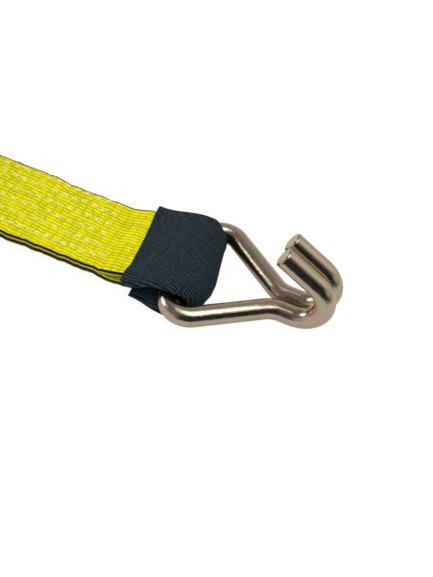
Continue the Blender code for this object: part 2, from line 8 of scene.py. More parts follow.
import json
import math

import bpy
import numpy as np
from mathutils import Matrix, Vector


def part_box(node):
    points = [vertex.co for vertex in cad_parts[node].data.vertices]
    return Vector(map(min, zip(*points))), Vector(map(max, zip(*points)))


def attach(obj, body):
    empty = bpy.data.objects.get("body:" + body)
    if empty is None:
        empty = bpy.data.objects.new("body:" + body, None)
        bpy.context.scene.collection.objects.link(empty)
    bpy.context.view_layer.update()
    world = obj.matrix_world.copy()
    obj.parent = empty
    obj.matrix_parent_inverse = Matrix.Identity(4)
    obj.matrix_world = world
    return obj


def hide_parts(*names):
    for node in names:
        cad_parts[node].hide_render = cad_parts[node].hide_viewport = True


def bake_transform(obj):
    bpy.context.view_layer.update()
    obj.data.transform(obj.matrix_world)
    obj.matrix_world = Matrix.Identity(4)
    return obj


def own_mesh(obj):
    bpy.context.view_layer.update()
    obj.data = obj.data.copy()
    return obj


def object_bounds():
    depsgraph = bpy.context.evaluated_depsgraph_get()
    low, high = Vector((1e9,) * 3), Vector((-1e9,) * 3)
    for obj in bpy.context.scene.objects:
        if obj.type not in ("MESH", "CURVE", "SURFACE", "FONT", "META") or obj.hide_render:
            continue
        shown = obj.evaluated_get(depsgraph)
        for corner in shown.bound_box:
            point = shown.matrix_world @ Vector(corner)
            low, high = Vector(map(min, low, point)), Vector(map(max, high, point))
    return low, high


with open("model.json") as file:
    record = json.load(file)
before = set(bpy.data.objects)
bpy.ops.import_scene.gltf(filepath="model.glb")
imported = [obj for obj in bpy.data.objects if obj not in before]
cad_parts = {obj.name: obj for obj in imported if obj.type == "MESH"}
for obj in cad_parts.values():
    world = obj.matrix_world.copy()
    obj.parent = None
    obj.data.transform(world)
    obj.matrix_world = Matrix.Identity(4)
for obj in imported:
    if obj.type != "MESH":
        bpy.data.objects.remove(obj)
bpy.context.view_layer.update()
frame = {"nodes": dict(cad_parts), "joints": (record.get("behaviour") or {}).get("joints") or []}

MM = 0.001
JOINTS = {joint["name"]: joint for joint in frame["joints"]}


def joint_place(name):
    return np.array(JOINTS[name]["pos_m"]) / MM


SHORT_BAR = joint_place("short_hook_swing")
LONG_BAR = joint_place("long_hook_swing")
DRUM = joint_place("handle_swing")
ANCHOR = joint_place("short_strap_swing")
STRAP_Z = SHORT_BAR[2]

# Webbing, in two layers where it makes an eye.
WEBBING_HALF = 25.3
WEBBING_THICK = 2.5
LAYER_HEIGHT = 1.4
LOWER_WIDER = 0.35
EYE_FLAT_END = 41
LONG_TAIL = 120
FLOAT_PITCH = 2.2
BAND_PITCH = 5.0
BAND_SHIFT = 0.14
FLOAT_TILT = 0.34
FLOAT_ENDS = 0.22
WEAVE_DEPTH = 0.19
EYE_RADIUS = 10.2
EYE_SHIFT = 2
SLEEVED_HEIGHT = 3.1
SLEEVED_START = 33
SLEEVED_END = 30
ANCHOR_EYE_RADIUS = 8.65
ANCHOR_EASE = 28
OUTER_WRAP_RADIUS = 15

# Sleeve.
SLEEVE_TOP = 33
SLEEVE_BOTTOM = 19
SLEEVE_HALF_THICK = 2.65
SLEEVE_EDGE_THICK = 1.25
SLEEVE_FOLD = 1.3
FAR_HALF = 31.0
NEAR_HALF = 30.6
EDGE_SAG = 1.7
LOWER_SAG = 1.6
SLEEVE_WALL = 1.0
RIB_PITCH = 1.55
RIB_DEPTH = 0.13
DOT_PITCH = 1.5
RIB_SHIFT = 0.12

# How far the fold at the hook's bar reaches past the CAD's, across the strap from its near edge.
REACH_AT = (-30, -26, -24, -20, -12, -5, 4, 12, 20, 26, 30)
REACH = (0.2, 1.2, 2.6, 4.4, 5.8, 5.3, 3.3, 1.5, -0.1, -0.9, -1.1)

# How far the sleeve's upper end is cut back, across the strap.
END_AT = (-30, -26, -19, -5, 9, 23, 30)
END_CUT = (6.8, 6.8, 7.8, 6.4, 4.5, 1.9, 1.2)

# Double J hook.
WIRE_RADIUS = 5.8
BAR_HALF = 34
CORNER_RADIUS = 11.6
TAPER_ANGLE = math.radians(35.8)
NECK_BEND_RADIUS = 15.3
NECK_LENGTH = 5.8
BOWL_RADIUS = 16
BOWL_ANGLE = math.radians(149.6)
PRONG_LENGTH = 22.8
PRONG_Y = WIRE_RADIUS + 0.15

# Sewing: each row's place across the strap, where it starts behind the bar, and its stitches' pitch.
STITCH_ROWS = ((22, 57.7, 6.9), (14.5, 50.5, 6.6), (6, 49.8, 6.5), (-2.7, 48.8, 7.3), (-11.5, 47, 7), (-20, 42, 5.6))
STITCH_LENGTH = 4.2
STITCH_SPREAD = 1.2
THREAD_RADIUS = 0.42
SHORT_STITCH_END = 150
LONG_STITCH_END = LONG_TAIL - 4


# Numbers


def smooth(value, start, end):
    """0 before start, 1 after end, and eased between."""
    part = np.clip((value - start) / (end - start), 0, 1)
    return part * part * (3 - 2 * part)


def wobble(values, seed, scale):
    """A smooth irregular function between about -1 and 1, the same on every run."""
    phase = np.random.default_rng(seed).uniform(0, 2 * math.pi, 4)
    total = 0
    for i, share in enumerate((0.45, 0.3, 0.15, 0.1)):
        total = total + share * np.sin(values / scale * (1.7 ** i) + phase[i])
    return total


def arc_points(centre, radius, start, end, step=1.0):
    steps = max(2, int(abs(math.radians(end - start)) * radius / step))
    angles = np.radians(np.linspace(start, end, steps + 1))
    return np.stack([centre[0] + radius * np.cos(angles), centre[1] + radius * np.sin(angles)], 1)


def resample(path, places):
    """Points and left-hand normals of a polyline at the given lengths along it."""
    lengths = np.concatenate([[0], np.cumsum(np.linalg.norm(np.diff(path, axis=0), axis=1))])
    point, ahead, behind = (
        np.stack([np.interp(places + step, lengths, path[:, k]) for k in (0, 1)], -1) for step in (0, 0.6, -0.6)
    )
    way = ahead - behind
    way /= np.linalg.norm(way, axis=-1)[..., None]
    return point, np.stack([-way[..., 1], way[..., 0]], -1)


def path_length(path):
    return float(np.linalg.norm(np.diff(path, axis=0), axis=1).sum())


# Meshes


def make_mesh(name, points, faces, attributes=(), flat=()):
    """A piece from points in millimetres. Faces are turned to point out of the solid."""
    points = np.asarray(points, float)
    first = np.array([face[:3] for face in faces])
    fans = [first] + [np.array([[f[0], f[k], f[k + 1]] for f in faces if len(f) > k + 1]) for k in (2,)]
    volume = sum(
        np.einsum("ij,ij->i", points[t[:, 0]], np.cross(points[t[:, 1]], points[t[:, 2]])).sum() for t in fans if len(t)
    )
    if volume < 0:
        faces = [tuple(face)[::-1] for face in faces]
    mesh = bpy.data.meshes.new(name)
    mesh.from_pydata((points * MM).tolist(), [], faces)
    for label, values in attributes:
        kind = "FLOAT" if np.ndim(values) == 1 else "FLOAT_VECTOR"
        layer = mesh.attributes.new(label, kind, "POINT")
        layer.data.foreach_set("value" if kind == "FLOAT" else "vector", np.asarray(values, np.float32).ravel())
    mesh.update()
    mesh.shade_smooth()
    for index in flat:
        mesh.polygons[index].use_smooth = False
    piece = bpy.data.objects.new(name, mesh)
    bpy.context.scene.collection.objects.link(piece)
    return piece


def grid_faces(rows, columns, wrap_rows, wrap_columns, first=0):
    """Quads of a grid whose points are numbered row by row."""
    i = np.arange(rows if wrap_rows else rows - 1)
    j = np.arange(columns if wrap_columns else columns - 1)
    i, j = np.meshgrid(i, j, indexing="ij")
    up, right = (i + 1) % rows, (j + 1) % columns
    quads = np.stack([i * columns + j, i * columns + right, up * columns + right, up * columns + j], -1)
    return (quads.reshape(-1, 4) + first).tolist()


def tube(path, radius, sides, closed_ends=True):
    """Rings round a smooth 3-D path, one radius for all or one for each ring, with flat faces over the ends when
    closed_ends is set. Returns points and faces.
    """
    path = np.asarray(path, float)
    way = np.gradient(path, axis=0)
    way /= np.linalg.norm(way, axis=1)[:, None]
    side = np.cross(way[0], (0, 1, 0) if abs(way[0][1]) < 0.9 else (1, 0, 0))
    frames = []
    for direction in way:
        side = side - direction * (side @ direction)
        side /= np.linalg.norm(side)
        frames.append((side, np.cross(direction, side)))
    angles = np.linspace(0, 2 * math.pi, sides, endpoint=False)
    radii = np.broadcast_to(np.asarray(radius, float), (len(path),)).copy()
    rings = []
    for centre, (across, up), r in zip(path, frames, radii):
        rings.append(centre + r * (np.cos(angles)[:, None] * across + np.sin(angles)[:, None] * up))
    points = np.concatenate(rings)
    faces = grid_faces(len(path), sides, False, True)
    if closed_ends:
        last = (len(path) - 1) * sides
        faces.append(list(range(sides)))
        faces.append(list(range(last, last + sides))[::-1])
    return points, faces


def join(parts):
    """Several (points, faces) as one."""
    points, faces, first = [], [], 0
    for more_points, more_faces in parts:
        points.append(more_points)
        faces += [[index + first for index in face] for face in more_faces]
        first += len(more_points)
    return np.concatenate(points), faces


def place(points, bar, direction):
    """From an eye's own frame to the row's frame."""
    return np.stack([bar[0] + direction * points[:, 0], bar[1] + points[:, 1], bar[2] + points[:, 2]], 1)


# Materials


class Nodes:
    """A material's or a world's node tree, with short calls for what this script uses."""

    def __init__(self, owner):
        owner.use_nodes = True
        self.tree = owner.node_tree
        self.tree.nodes.clear()

    def add(self, kind, inputs=None, **settings):
        node = self.tree.nodes.new(f"ShaderNode{kind}")
        for key, value in settings.items():
            setattr(node, key, value)
        for key, value in (inputs or {}).items():
            self.feed(node.inputs[key], value)
        return node

    def feed(self, socket, value):
        if isinstance(value, bpy.types.NodeSocket):
            self.tree.links.new(value, socket)
        else:
            socket.default_value = value

    def math(self, operation, a, b=0.0, c=0.0, clamp=False):
        node = self.add("Math", {0: a, 1: b, 2: c}, operation=operation, use_clamp=clamp)
        return node.outputs[0]

    def mix(self, factor, a, b, blend="MIX"):
        node = self.add("Mix", data_type="RGBA", blend_type=blend, clamp_factor=True)
        self.feed(node.inputs["Factor"], factor)
        self.feed(node.inputs[6], a if isinstance(a, bpy.types.NodeSocket) else (*a, 1))
        self.feed(node.inputs[7], b if isinstance(b, bpy.types.NodeSocket) else (*b, 1))
        return node.outputs[2]

    def ramp(self, value, low, high, to_low=0.0, to_high=1.0):
        """Eased change from to_low to to_high as the value goes from low to high."""
        inputs = {"Value": value, "From Min": low, "From Max": high, "To Min": to_low, "To Max": to_high}
        return self.add("MapRange", inputs, interpolation_type="SMOOTHSTEP").outputs[0]

    def noise(self, vector, scale, detail=2.0, rough=0.5, distortion=0.0):
        inputs = {"Vector": vector, "Scale": scale, "Detail": detail, "Roughness": rough, "Distortion": distortion}
        return self.add("TexNoise", inputs).outputs["Fac"]

    def scaled(self, vector, scale):
        inputs = {0: vector, 1: scale}
        return self.add("VectorMath", inputs, operation="MULTIPLY").outputs[0]

    def attribute(self, name):
        return self.add("Attribute", attribute_name=name)

    def position(self):
        return self.add("TexCoord").outputs["Object"]

    def bump(self, height, distance, strength=1.0, normal=None):
        inputs = {"Height": height, "Distance": distance, "Strength": strength}
        if normal:
            inputs["Normal"] = normal
        return self.add("Bump", inputs).outputs[0]

    def finish(self, **inputs):
        shader = self.add("BsdfPrincipled")
        for key, value in inputs.items():
            self.feed(shader.inputs[key.replace("_", " ")], value)
        output = self.add("OutputMaterial")
        self.tree.links.new(shader.outputs[0], output.inputs[0])


def new_material(name):
    made = bpy.data.materials.new(name)
    return made, Nodes(made)


def plated_wire():
    """Yellow chromate on drawn wire: tan and gold, drifting to pink and green, with fine pits and draw lines."""
    made, n = new_material("hook_zinc")
    place_on = n.position()
    drift = n.noise(place_on, 60, 2, 0.5, 0.6)
    speck = n.noise(place_on, 2600, 3, 0.7)
    cloud = n.noise(place_on, 240, 3, 0.6)
    tint = n.mix(n.ramp(drift, 0.34, 0.60), (0.72, 0.43, 0.38), (0.61, 0.50, 0.29))
    tint = n.mix(n.ramp(drift, 0.53, 0.66), tint, (0.46, 0.51, 0.20))
    facing = n.add("LayerWeight", {"Blend": 0.5}).outputs["Facing"]
    colour = n.mix(n.ramp(facing, 0.1, 0.65, 0.35, 1.0), (0.56, 0.52, 0.45), tint)
    colour = n.mix(n.ramp(cloud, 0.45, 0.75, 0, 0.35), colour, (0.64, 0.53, 0.42))
    colour = n.mix(n.ramp(speck, 0.52, 0.66, 0, 0.6), colour, (0.24, 0.17, 0.14))
    colour = n.mix(n.ramp(n.noise(place_on, 1900, 2, 0.6), 0.62, 0.72, 0, 0.5), colour, (0.80, 0.76, 0.66))
    rough = n.ramp(cloud, 0.3, 0.7, 0.11, 0.18)
    rough = n.math("ADD", rough, n.ramp(speck, 0.55, 0.75, 0, 0.18))
    grain = n.math("ADD", n.noise(place_on, 900, 4, 0.7), n.math("MULTIPLY", n.noise(place_on, 260, 2), 0.8))
    bump = n.bump(grain, 0.00013, 0.8)
    n.finish(Base_Color=colour, Metallic=1.0, Roughness=rough, Normal=bump)
    return made


def plated_sheet(name, light, dark, tint, rough_low, rough_high):
    """Zinc plate on stamped sheet, with a faint rolled grain, stains, and brighter scuffs on the edges."""
    made, n = new_material(name)
    place_on = n.position()
    drift = n.noise(place_on, 45, 3, 0.55, 0.8)
    cloud = n.noise(place_on, 320, 4, 0.6)
    grain = n.noise(n.scaled(place_on, (150, 2600, 2600)), 1, 2, 0.6)
    speck = n.noise(place_on, 2200, 2, 0.6)
    colour = n.mix(n.ramp(drift, 0.35, 0.62), light, tint)
    colour = n.mix(n.ramp(cloud, 0.5, 0.8, 0, 0.6), colour, dark)
    edge = n.add("NewGeometry").outputs["Pointiness"]
    worn = n.ramp(n.math("ADD", edge, n.math("MULTIPLY", cloud, 0.03)), 0.535, 0.57, 0, 0.6)
    colour = n.mix(worn, colour, (0.70, 0.68, 0.64))
    colour = n.mix(n.ramp(speck, 0.62, 0.75, 0, 0.4), colour, (0.16, 0.13, 0.10))
    rough = n.math("ADD", n.ramp(cloud, 0.3, 0.7, rough_low, rough_high), n.math("MULTIPLY", grain, 0.06))
    height = n.math("ADD", n.math("MULTIPLY", grain, 0.5), n.math("MULTIPLY", cloud, 0.6))
    n.finish(Base_Color=colour, Metallic=1.0, Roughness=rough, Normal=n.bump(height, 0.00005, 0.6))
    return made


def spring_wire():
    made, n = new_material("spring_wire")
    place_on = n.position()
    cloud = n.noise(place_on, 900, 3, 0.6)
    colour = n.mix(n.ramp(cloud, 0.35, 0.7), (0.42, 0.42, 0.43), (0.22, 0.22, 0.23))
    n.finish(
        Base_Color=colour,
        Metallic=1.0,
        Roughness=n.ramp(cloud, 0.3, 0.7, 0.25, 0.45),
        Normal=n.bump(n.noise(place_on, 3000, 2), 0.00003, 0.5),
    )
    return made


def rubber():
    made, n = new_material("grip_rubber")
    place_on = n.position()
    grain = n.noise(place_on, 1800, 3, 0.6)
    dust = n.noise(place_on, 120, 4, 0.6)
    colour = n.mix(n.ramp(dust, 0.5, 0.8, 0, 0.5), (0.018, 0.018, 0.019), (0.05, 0.05, 0.048))
    n.finish(
        Base_Color=colour,
        Roughness=n.ramp(dust, 0.3, 0.7, 0.55, 0.75),
        Normal=n.bump(grain, 0.0001, 0.7),
    )
    return made


def float_height(n, across, along, pitch_across, pitch_along, shift, tilt, ends):
    """Height of a woven surface, and its cell: tilted lengthwise floats in bands, each band a little further over."""
    band = n.math("DIVIDE", along, pitch_along)
    row, part = n.math("FLOOR", band), n.math("FRACT", band)
    moved = n.math("ADD", n.math("MULTIPLY", row, shift), n.math("MULTIPLY", part, tilt))
    column = n.math("ADD", n.math("DIVIDE", across, pitch_across), moved)
    over = n.math("SINE", n.math("MULTIPLY", n.math("FRACT", column), math.pi))
    lengthwise = n.math("SINE", n.math("MULTIPLY", part, math.pi))
    height = n.math("MULTIPLY", over, n.math("POWER", lengthwise, ends))
    cell = n.add("CombineXYZ", {0: n.math("FLOOR", column), 1: row}).outputs[0]
    return height, cell


def webbing():
    """Bright yellow polyester: floats with painted highlights on their tops and olive painted shade between them,
    painted glints, black selvedge yarn, and painted shade on the narrow sides and in the needle holes.
    """
    made, n = new_material("yellow_webbing")
    weave = n.attribute("weave").outputs["Vector"]
    parts = n.add("SeparateXYZ", {0: weave})
    across = n.math("ADD", parts.outputs[0], 1000 * FLOAT_PITCH)
    along = n.math("ADD", parts.outputs[1], 1000 * BAND_PITCH)
    height, cell = float_height(n, across, along, FLOAT_PITCH, BAND_PITCH, BAND_SHIFT, FLOAT_TILT, FLOAT_ENDS)
    chance = n.add("TexWhiteNoise", {"Vector": cell}).outputs["Value"]
    fibre = n.noise(n.scaled(weave, (6.0, 0.9, 1.0)), 1.0, 3, 0.6)
    cross = n.noise(n.scaled(weave, (1.2, 5.0, 1.0)), 1.0, 2, 0.5)
    patch = n.noise(weave, 0.10, 3, 0.6)
    warm = n.noise(n.scaled(weave, (1.0, 0.6, 1.0)), 0.16, 2, 0.5)
    # Painted light and tone: float tops are painted lighter as highlights and the gaps between them darker as shade,
    # with random tone for each float and across the weave.
    painted_light_and_tone = n.math("ADD", height, n.math("MULTIPLY", n.math("SUBTRACT", chance, 0.5), 0.5))
    painted_light_and_tone = n.math("ADD", painted_light_and_tone, n.math("MULTIPLY", n.math("SUBTRACT", cross, 0.5), 0.9))
    colour = n.mix(n.ramp(painted_light_and_tone, 0.1, 1.0), (0.33, 0.31, 0.0003), (0.61, 0.565, 0.001))
    colour = n.mix(n.ramp(patch, 0.4, 0.7, 0, 0.3), colour, (0.44, 0.42, 0.0005))
    colour = n.mix(n.ramp(warm, 0.52, 0.75, 0, 0.45), colour, (0.60, 0.49, 0.001))
    colour = n.mix(n.ramp(fibre, 0.55, 0.85, 0, 0.4), colour, (0.74, 0.70, 0.03))
    # Painted glints: pale streaks on the float tops that stand in for light caught by the fibres.
    glint = n.math("MULTIPLY", n.ramp(n.noise(n.scaled(weave, (2.2, 0.7, 1.0)), 1.0, 2, 0.6), 0.54, 0.68, 0, 0.6), height)
    colour = n.mix(glint, colour, (0.78, 0.75, 0.12))
    # Painted shade: the strap's narrow sides are painted duller and darker than its faces.
    side = n.attribute("edge_face").outputs["Fac"]
    colour = n.mix(n.math("MULTIPLY", side, 0.8), colour, (0.44, 0.42, 0.12))
    # Painted shade in the dented needle holes.
    needle_hole_shade = n.attribute("pulled").outputs["Fac"]
    colour = n.mix(n.math("MULTIPLY", needle_hole_shade, 0.3), colour, (0.40, 0.37, 0.02))
    line = n.attribute("selvedge").outputs["Fac"]
    broken = n.math("ADD", line, n.math("MULTIPLY", n.noise(weave, 0.7, 3), 0.5))
    colour = n.mix(n.ramp(broken, 0.72, 0.84), colour, (0.012, 0.012, 0.010))
    relief = n.math("ADD", height, n.math("MULTIPLY", n.math("ADD", fibre, cross), 0.3))
    n.finish(
        Base_Color=colour,
        Roughness=n.ramp(fibre, 0.3, 0.8, 0.8, 0.55),
        Sheen_Weight=0.03,
        Sheen_Roughness=0.4,
        Sheen_Tint=(1.0, 0.92, 0.15, 1),
        Specular_IOR_Level=0.07,
        Specular_Tint=(1.0, 0.93, 0.2, 1),
        Normal=n.bump(relief, 0.00022, 0.65),
    )
    return made


def sleeve_fabric():
    """Near black navy tube: ribs across it, each broken into fine stitches, whose tops are painted lighter as
    highlights, with painted shade between them.
    """
    made, n = new_material("navy_sleeve")
    weave = n.attribute("weave").outputs["Vector"]
    parts = n.add("SeparateXYZ", {0: weave})
    across = n.math("ADD", parts.outputs[0], 1000 * DOT_PITCH)
    along = n.math("ADD", parts.outputs[1], 1000 * RIB_PITCH)
    height, cell = float_height(n, across, along, DOT_PITCH, RIB_PITCH, RIB_SHIFT, 0.0, 0.6)
    chance = n.add("TexWhiteNoise", {"Vector": cell}).outputs["Value"]
    fibre = n.noise(n.scaled(weave, (3.0, 6.0, 1.0)), 1.0, 3, 0.6)
    patch = n.noise(weave, 0.12, 3, 0.6)
    # Painted light and tone: stitch tops are painted lighter as highlights and the gaps darker as shade, each stitch a
    # little brighter or darker at random.
    painted_light_and_tone = n.math("MULTIPLY", height, n.math("ADD", 0.75, n.math("MULTIPLY", chance, 0.5)))
    colour = n.mix(n.ramp(painted_light_and_tone, 0.2, 0.95), (0.0008, 0.0026, 0.0040), (0.026, 0.047, 0.057))
    colour = n.mix(n.ramp(patch, 0.4, 0.75, 0, 0.5), colour, (0.007, 0.013, 0.018))
    colour = n.mix(n.ramp(fibre, 0.62, 0.8, 0, 0.45), colour, (0.055, 0.080, 0.090))
    relief = n.math("ADD", height, n.math("MULTIPLY", fibre, 0.3))
    n.finish(
        Base_Color=colour,
        Roughness=n.ramp(fibre, 0.3, 0.8, 0.85, 0.6),
        Sheen_Weight=0.03,
        Sheen_Roughness=0.4,
        Sheen_Tint=(0.5, 0.65, 0.8, 1),
        Specular_IOR_Level=0.15,
        Normal=n.bump(relief, 0.00022, 0.9),
    )
    return made


def thread():
    made, n = new_material("cream_thread")
    place_on = n.position()
    ply = n.noise(n.scaled(place_on, (500, 1300, 1300)), 1.0, 2, 0.6)
    colour = n.mix(n.ramp(ply, 0.42, 0.62), (0.55, 0.51, 0.01), (0.76, 0.73, 0.28))
    n.finish(
        Base_Color=colour,
        Roughness=0.6,
        Sheen_Weight=0.2,
        Normal=n.bump(ply, 0.0001, 0.8),
    )
    return made


HOOK_ZINC = plated_wire()
YELLOW_ZINC = plated_sheet("yellow_zinc", (0.60, 0.47, 0.25), (0.38, 0.30, 0.17), (0.56, 0.40, 0.28), 0.24, 0.40)
BRIGHT_ZINC = plated_sheet("bright_zinc", (0.56, 0.57, 0.58), (0.36, 0.37, 0.38), (0.52, 0.53, 0.52), 0.26, 0.44)
SPRING_WIRE = spring_wire()
RUBBER = rubber()
WEBBING = webbing()
SLEEVE = sleeve_fabric()
THREAD = thread()


def finish_piece(piece, body, material, slot, *nodes):
    piece.data.materials.append(material)
    if nodes:
        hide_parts(*nodes)
    if body:
        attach(piece, body)
    return piece


# Webbing


def eye_height(back):
    """How far each layer's middle is from the strap's, at distances behind the bar."""
    flat = SLEEVED_HEIGHT + (LAYER_HEIGHT - SLEEVED_HEIGHT) * smooth(back, SLEEVED_START, EYE_FLAT_END)
    return flat + (EYE_RADIUS - SLEEVED_HEIGHT) * (1 + np.cos(math.pi * np.clip(back / SLEEVED_END, 0, 1))) / 2


def eye_path(top, bottom):
    """The layer's middle in the eye's own frame, from the upper end round the bar to the lower end."""
    back = np.arange(top, -0.01, -1.0)
    upper = np.stack([-back, eye_height(back)], 1)
    fold = arc_points((EYE_SHIFT, 0), EYE_RADIUS, 90, -90, 0.5)
    back = np.arange(0, bottom + 0.01, 1.0)
    slack = LOWER_SAG * smooth(back, 12, 24) * (1 - smooth(back, 33, 46))
    lower = np.stack([-back, -eye_height(back) - slack], 1)
    return np.concatenate([upper, fold, lower])


def fold_reach(x, y):
    """How much further forward the fold lies, at places along the eye (rows) and across the strap (columns)."""
    return np.clip((x - EYE_SHIFT) / EYE_RADIUS, 0, 1.3) * np.interp(y, REACH_AT, REACH)


def edge_sag(x, y, upper):
    """How far the eye's near edge sags towards its middle, behind the bar."""
    return np.where(upper, EDGE_SAG, 0.6 * EDGE_SAG) * smooth(-x, 6, 22) * smooth(-y, 24, 30)


def strap_profile(half, inner_step):
    """The webbing's section: places across, offsets from the middle, and what each place is.

    The marks are the black yarn where it lies on the outer corner, the same where the edge has rolled over,
    and the strap's narrow side.
    """
    columns = round(2 * (half - 1.0) / (FLOAT_PITCH / 5))
    outer = np.linspace(-half + 1.0, half - 1.0, columns + 1)
    inner = np.linspace(half - 1.0, -half + 1.0, max(2, round(2 * half / inner_step)))
    t = WEBBING_THICK / 2
    edge = [
        (half - 0.85, t + 0.05, 1, 0, 0),
        (half - 0.4, t + 0.08, 1, 1, 0),
        (half - 0.08, t - 0.25, 1, 1, 0),
        (half + 0.02, t - 0.55, 1, 0, 0),
        (half + 0.04, t - 0.85, 1, 0, 1),
        (half + 0.04, t - 1.1, 0, 1, 1),
        (half + 0.04, -0.05, 0, 1, 1),
        (half + 0.04, -0.35, 0, 1, 1),
        (half + 0.02, -0.65, 0, 1, 1),
        (half - 0.06, -t + 0.3, 0, 1, 1),
        (half - 0.3, -t + 0.1, 0, 1, 1),
    ]
    rows = [(a, t, 0, 0, 0) for a in outer] + edge + [(a, -t, 0, 0, 0) for a in inner]
    rows += [(-a, b, *marks) for a, b, *marks in reversed(edge)]
    return np.array(rows)


def weave_relief(across, along):
    """The same floats as the material's, as a height."""
    band = (along + BAND_PITCH * 1000) / BAND_PITCH
    row = np.floor(band)
    column = (across + FLOAT_PITCH * 1000) / FLOAT_PITCH + BAND_SHIFT * row + FLOAT_TILT * (band - row)
    return np.abs(np.sin(math.pi * column)) * np.abs(np.sin(math.pi * band)) ** FLOAT_ENDS


def strap_width(back, settle):
    """How wide the strap lies against its nominal width, and how far it lies to one side, behind the bar."""
    loose = 1 - smooth(back, *settle)
    half = 0.9 + 0.7 * np.exp(-((back - 35) / 6) ** 2) + 1.1 * smooth(back, 84, 98)
    half = half * loose - 2.4 * (1 - smooth(back, 16, 29)) - 2.4 * (1 - smooth(back, -6, 4))
    side = (0.6 * smooth(back, 84, 98) - 2.4 * smooth(back, 24, 50)) * loose
    return 1 + half / WEBBING_HALF, side


def row_places(length, fine_ranges):
    """Places along a path: close together where the weave shows, and far apart where it's hidden."""
    places, at = [], 0.0
    fine = BAND_PITCH / 8
    while at < length:
        places.append(at)
        shown = any(low <= at < high for low, high in fine_ranges)
        at += fine if shown else fine * 4
    return np.array(places)


def strap_mesh(name, path, fine_ranges, closed, inner_step, holes=(), eye=None, waver=0.4):
    """Webbing along a path of x and z in the row's frame, with woven relief on its outer face."""
    length = path_length(path) - (1e-6 if closed else 0)
    along = row_places(length, fine_ranges)
    middle, normal = resample(path, along)
    across, offset, corner_line, rolled_line, face = strap_profile(WEBBING_HALF, inner_step).T
    shown = np.zeros(len(along))
    for low, high in fine_ranges:
        shown = np.maximum(shown, smooth(along, low, low + 3) * (1 - smooth(along, high - 3, high)))
    rows, columns = len(along), len(across)
    shown, down = shown[:, None], along[:, None]
    stretch, side, edge_at, pulled_about = np.ones((rows, 1)), np.zeros((rows, 1)), down, np.zeros((rows, 1))
    if eye:
        bar, direction, settle = eye
        own_x = (direction * (middle[:, 0] - bar[0]))[:, None]
        stretch, side = strap_width(-own_x, settle)
        stretch = stretch + LOWER_WIDER / WEBBING_HALF * np.clip(-normal[:, 1:2], 0, 1) * shown
        edge_at = own_x
        pulled_about = smooth(-own_x, 42, 55) * (1 - smooth(-own_x, *settle))
    y = across * (stretch + waver * wobble(edge_at, 3, 2.2) / WEBBING_HALF * shown) + side

    weave_a = across + 0.35 * wobble(down, 21, 9.0) + 0.22 * pulled_about * wobble(down + 0.8 * across, 24, 2.2)
    weave_b = down + 0.6 * wobble(across, 22, 5.0) + 0.9 * pulled_about * wobble(across + 0.35 * down, 23, 1.8)
    on_outer = (offset >= WEBBING_THICK / 2 - 0.01) & (corner_line == 0)
    line = np.where(normal[:, 1:2] < 0, rolled_line, corner_line)
    relief = (weave_relief(weave_a, weave_b) - 1) * WEAVE_DEPTH * shown * on_outer
    relief = relief + 0.12 * wobble(down + 0.7 * across, 5, 6.0) * shown * (face < 0.5)
    x = middle[:, 0:1] + normal[:, 0:1] * offset
    z = middle[:, 1:2] + normal[:, 1:2] * offset
    pulled = np.zeros_like(relief)
    for hole_x, hole_y, upward in holes:
        near = np.exp(-((middle[:, 0:1] - hole_x) ** 2 + (y - hole_y) ** 2) / 1.0) * (normal[:, 1:2] * upward > 0.5)
        pulled = np.maximum(pulled, near * on_outer)
    relief = relief - 0.45 * pulled
    x = x + normal[:, 0:1] * relief
    z = z + normal[:, 1:2] * relief
    if eye:
        sag = edge_sag(own_x, y, normal[:, 1:2] > 0) * (1 - smooth(-own_x, 33, 40))
        z = z - sag * normal[:, 1:2]
        x = x + direction * fold_reach(own_x, y)
    points = np.stack([x, y, z], -1).reshape(-1, 3)
    faces = grid_faces(rows, columns, closed, True)
    if not closed:
        faces += cap_faces(columns, 0) + cap_faces(columns, (rows - 1) * columns, True)
    weave = np.stack([weave_a, weave_b, np.broadcast_to(offset, (rows, columns))], -1).reshape(-1, 3)
    attributes = (
        ("weave", weave),
        ("selvedge", line.ravel()),
        ("edge_face", np.broadcast_to(face, (rows, columns)).ravel()),
        ("pulled", pulled.ravel()),
    )
    return make_mesh(name, points, faces, attributes)


def cap_faces(columns, first, flip=False):
    """One face over a strap's open end."""
    loop = list(range(first, first + columns))
    return [loop[::-1] if flip else loop]


def stitch_places(end):
    """(x, y) of each stitch's middle in the eye's own frame, and its heading."""
    chance = np.random.default_rng(11)
    found = []
    for y, start, pitch in STITCH_ROWS:
        back = start + STITCH_LENGTH / 2
        while back < end - STITCH_LENGTH:
            bend = 3.4 * float(1 - smooth(np.float64(back), 42, 54)) if y == STITCH_ROWS[-1][0] else 0
            drift = chance.uniform(-0.6, 0.6, 2)
            found.append((-back + drift[0], y + bend + 0.7 * drift[1], chance.uniform(-0.2, 0.2)))
            back += pitch
    return found


def stitch_holes(end, bar, direction):
    """Where the needle went through the strap, for both faces, in the row's frame."""
    holes = []
    for x, y, _ in stitch_places(end):
        for tip in (-1, 1):
            for upward in (1, -1):
                holes.append((bar[0] + direction * (x + tip * STITCH_LENGTH / 2), y, upward))
    return holes


def stitches(name, end, bar, direction):
    """Every stitch on both faces: two threads side by side that dive into the webbing at their ends."""
    surface = LAYER_HEIGHT + WEBBING_THICK / 2
    parts = []
    steps = np.linspace(-1, 1, 9)
    for upward in (1, -1):
        for x, y, heading in stitch_places(end):
            for spread in (-0.5, 0.5):
                dx = steps * (STITCH_LENGTH / 2 + 0.2)
                rise = -0.12 - 1.2 * np.abs(steps) ** 3
                dy = spread * STITCH_SPREAD * (1 - 0.35 * np.abs(steps) ** 3) + dx * math.tan(heading)
                path = np.stack([x + dx, y + dy, upward * (surface + rise)], 1)
                parts.append(tube(path, THREAD_RADIUS, 7))
    points, faces = join(parts)
    return make_mesh(name, place(points, bar, direction), faces)


